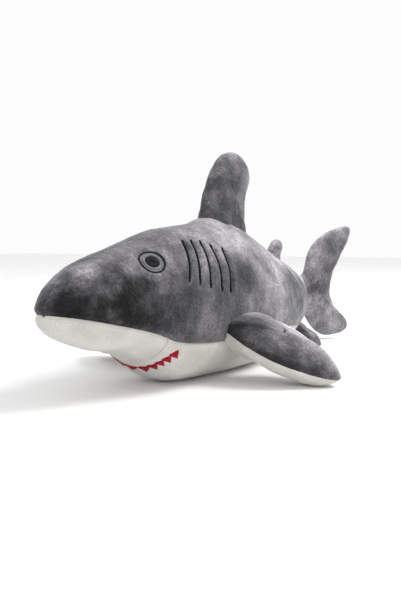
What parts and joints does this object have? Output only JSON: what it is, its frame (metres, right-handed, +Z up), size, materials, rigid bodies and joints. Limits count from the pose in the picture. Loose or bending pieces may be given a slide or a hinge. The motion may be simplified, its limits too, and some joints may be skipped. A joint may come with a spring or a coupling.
{
  "type": "plush shark",
  "caption": "Plush toy shark sewn from grey and white short-pile panels over fibre filling, with fins and tail that bend at their seams.",
  "frame": {"origin": "on the flat underside of the chest, below the spine, where the toy rests", "axes": "+Z up, +Y towards the tail, +X towards the shark's left side"},
  "size_m": [0.3797, 0.6489, 0.2838],
  "materials": {
    "grey_plush": "short mottled pile",
    "white_plush": "short pile",
    "black_thread": "embroidery thread, slight sheen",
    "grey_thread": "embroidery thread, slight sheen",
    "red_applique": "satin-stitched felt",
    "fibre_fill": "loose polyester fibre"
  },
  "bodies": {
    "body": {"left_side_panel": "grey_plush", "right_side_panel": "grey_plush", "snout_panel": "white_plush", "belly_panel": "white_plush", "body_stuffing": "fibre_fill", "left_eye_ring": "black_thread", "left_eye_iris": "grey_thread", "left_eye_pupil": "black_thread", "left_gill_stitch_1": "black_thread", "left_gill_stitch_2": "black_thread", "left_gill_stitch_3": "black_thread", "left_gill_stitch_4": "black_thread", "left_gill_stitch_5": "black_thread", "left_mouth_applique": "red_applique", "right_eye_ring": "black_thread", "right_eye_iris": "grey_thread", "right_eye_pupil": "black_thread", "right_gill_stitch_1": "black_thread", "right_gill_stitch_2": "black_thread", "right_gill_stitch_3": "black_thread", "right_gill_stitch_4": "black_thread", "right_gill_stitch_5": "black_thread", "right_mouth_applique": "red_applique"},
    "tail": {"tail_left_panel": "grey_plush", "tail_right_panel": "grey_plush", "tail_belly_panel": "white_plush", "tail_stuffing": "fibre_fill"},
    "caudal_fin": {"caudal_left_panel": "grey_plush", "caudal_right_panel": "grey_plush", "caudal_stuffing": "fibre_fill"},
    "dorsal_fin": {"dorsal_left_panel": "grey_plush", "dorsal_right_panel": "grey_plush", "dorsal_stuffing": "fibre_fill"},
    "second_dorsal_fin": {"second_dorsal_left_panel": "grey_plush", "second_dorsal_right_panel": "grey_plush", "second_dorsal_stuffing": "fibre_fill"},
    "left_pectoral_fin": {"left_pectoral_upper_panel": "grey_plush", "left_pectoral_lower_panel": "white_plush", "left_pectoral_stuffing": "fibre_fill"},
    "right_pectoral_fin": {"right_pectoral_upper_panel": "grey_plush", "right_pectoral_lower_panel": "white_plush", "right_pectoral_stuffing": "fibre_fill"},
    "left_pelvic_fin": {"left_pelvic_upper_panel": "grey_plush", "left_pelvic_lower_panel": "grey_plush", "left_pelvic_stuffing": "fibre_fill"},
    "right_pelvic_fin": {"right_pelvic_upper_panel": "grey_plush", "right_pelvic_lower_panel": "grey_plush", "right_pelvic_stuffing": "fibre_fill"}
  },
  "joints": [
    {"name": "tail_sway", "type": "hinge", "parent": "body", "child": "tail", "pos_m": [0.00134, 0.28321, 0.078], "axis": [0, 0, 1], "range_deg": [-25, 25], "stiffness_Nm_per_rad": 0.6},
    {"name": "caudal_fin_sway", "type": "hinge", "parent": "tail", "child": "caudal_fin", "pos_m": [0.01709, 0.32201, 0.078], "axis": [0, 0, 1], "range_deg": [-30, 30], "stiffness_Nm_per_rad": 0.25},
    {"name": "dorsal_fin_lean", "type": "hinge", "parent": "body", "child": "dorsal_fin", "pos_m": [0.00296, 0.0459, 0.198], "axis": [0.1607, 0.987, 0], "range_deg": [-30, 30], "stiffness_Nm_per_rad": 0.3},
    {"name": "second_dorsal_fin_lean", "type": "hinge", "parent": "body", "child": "second_dorsal_fin", "pos_m": [-0.00416, 0.22763, 0.142], "axis": [0.1994, 0.9799, 0], "range_deg": [-30, 30], "stiffness_Nm_per_rad": 0.08},
    {"name": "left_pectoral_fin_flap", "type": "hinge", "parent": "body", "child": "left_pectoral_fin", "pos_m": [0.08613, -0.01675, 0.05461], "axis": [-0.0499, -0.9913, -0.1217], "range_deg": [-10, 60], "stiffness_Nm_per_rad": 0.3},
    {"name": "right_pectoral_fin_flap", "type": "hinge", "parent": "body", "child": "right_pectoral_fin", "pos_m": [-0.08766, -0.00184, 0.05461], "axis": [0.1196, 0.9853, 0.1217], "range_deg": [-10, 60], "stiffness_Nm_per_rad": 0.3},
    {"name": "left_pelvic_fin_flap", "type": "hinge", "parent": "body", "child": "left_pelvic_fin", "pos_m": [0.05119, 0.21649, 0.03106], "axis": [0.3872, -0.908, -0.1601], "range_deg": [-5, 35], "stiffness_Nm_per_rad": 0.08},
    {"name": "right_pelvic_fin_flap", "type": "hinge", "parent": "body", "child": "right_pelvic_fin", "pos_m": [-0.05863, 0.21109, 0.03106], "axis": [0.2962, 0.9416, 0.1601], "range_deg": [-5, 35], "stiffness_Nm_per_rad": 0.08}
  ]
}
